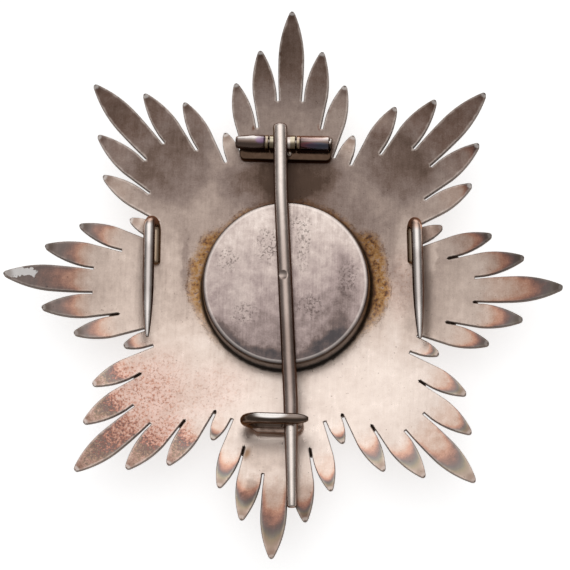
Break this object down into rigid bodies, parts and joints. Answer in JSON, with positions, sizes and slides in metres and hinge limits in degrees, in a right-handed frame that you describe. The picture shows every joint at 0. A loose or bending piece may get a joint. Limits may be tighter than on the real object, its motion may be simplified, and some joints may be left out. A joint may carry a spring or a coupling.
{
  "type": "breast star",
  "caption": "Silver eight-pointed breast star lying on its front, its back up, with a long hinged pin, a wire catch and two side hooks.",
  "frame": {"origin": "centre of the star in plan, on the front medallion's face that it rests on", "axes": "+Z out of the star's back, +Y from the centre to the hinge at the top, +X to the right seen from the back"},
  "size_m": [0.085, 0.085, 0.0127],
  "materials": {
    "star_body": "tarnished silver, satin, with warm and violet toning",
    "front_medallion": "toned silver, satin",
    "back_cover": "toned silver, brushed and slightly pitted",
    "hinge": "polished silver, toned",
    "hinge_rod": "dark toned silver",
    "pin": "polished silver, lightly toned",
    "catch": "polished silver, toned",
    "left_hook": "polished silver, lightly toned",
    "right_hook": "polished silver, toned"
  },
  "bodies": {
    "star": {"star_body": "star_body", "front_medallion": "front_medallion", "back_cover": "back_cover", "hinge": "hinge", "hinge_rod": "hinge_rod", "catch": "catch", "left_hook": "left_hook", "right_hook": "right_hook"},
    "pin": {"pin": "pin"}
  },
  "joints": [
    {"name": "pin_swing", "type": "hinge", "parent": "star", "child": "pin", "pos_m": [0, 0.022, 0.00899], "axis": [-1, 0, 0], "range_deg": [0, 45]}
  ]
}
